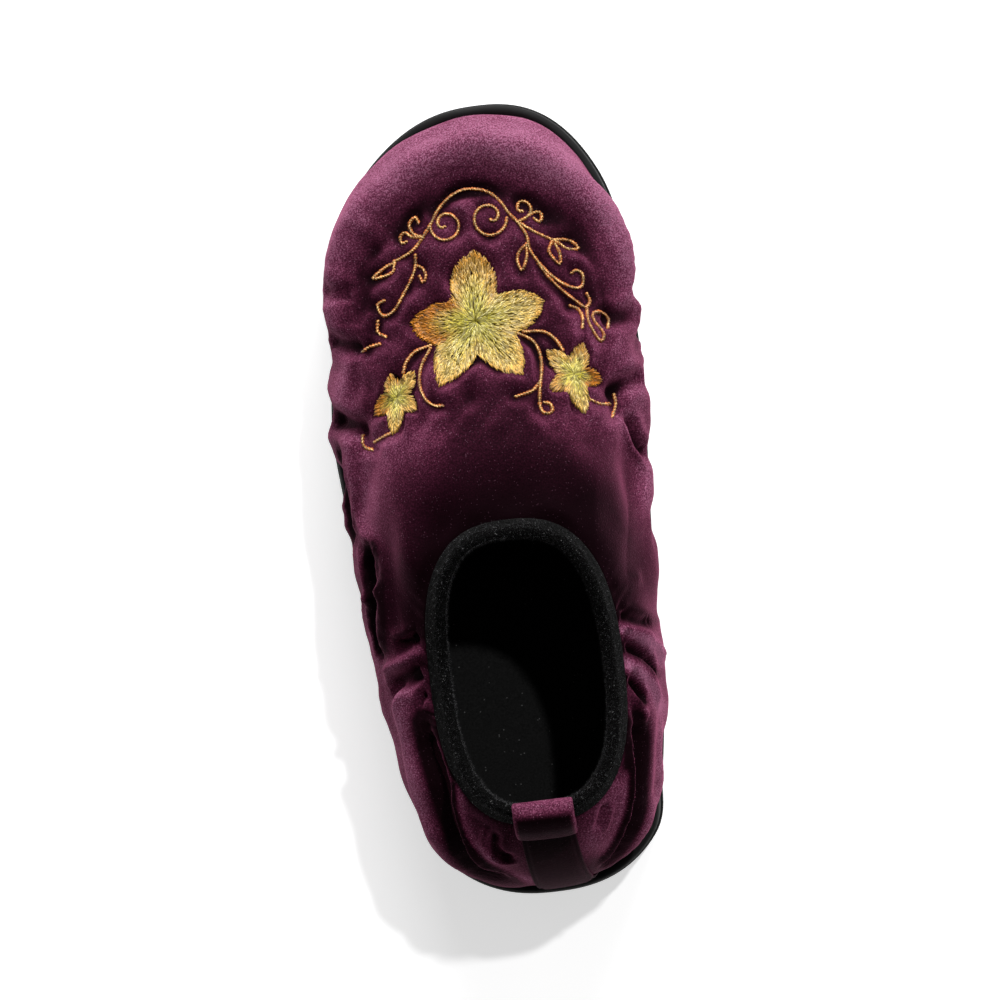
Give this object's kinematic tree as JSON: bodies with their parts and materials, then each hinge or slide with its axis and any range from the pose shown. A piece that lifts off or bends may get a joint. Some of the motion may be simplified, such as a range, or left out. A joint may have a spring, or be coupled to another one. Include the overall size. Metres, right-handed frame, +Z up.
{
  "type": "padded slipper",
  "caption": "Left padded slipper: a puffy velvet upper with an elastic fleece collar and a heel pull loop, gathered onto a black moulded cup sole.",
  "frame": {"origin": "Middle of the slipper's box on the floor, under the tread.", "axes": "+Y runs from heel to toe, +X to the inner (big toe) side of the left foot, +Z up."},
  "size_m": [0.1118, 0.2714, 0.0928],
  "materials": {
    "black_rubber": "satin",
    "black_felt": "matte felt",
    "plum_velvet": "velvet nap",
    "black_fleece": "matte fleece",
    "velvet_ribbon": "velvet nap",
    "gold_thread": "silky thread"
  },
  "bodies": {
    "root": {"sole": "black_rubber", "insole": "black_felt", "upper": "plum_velvet", "collar_binding": "black_fleece", "heel_strip": "velvet_ribbon", "pull_loop": "velvet_ribbon"}
  },
  "joints": []
}
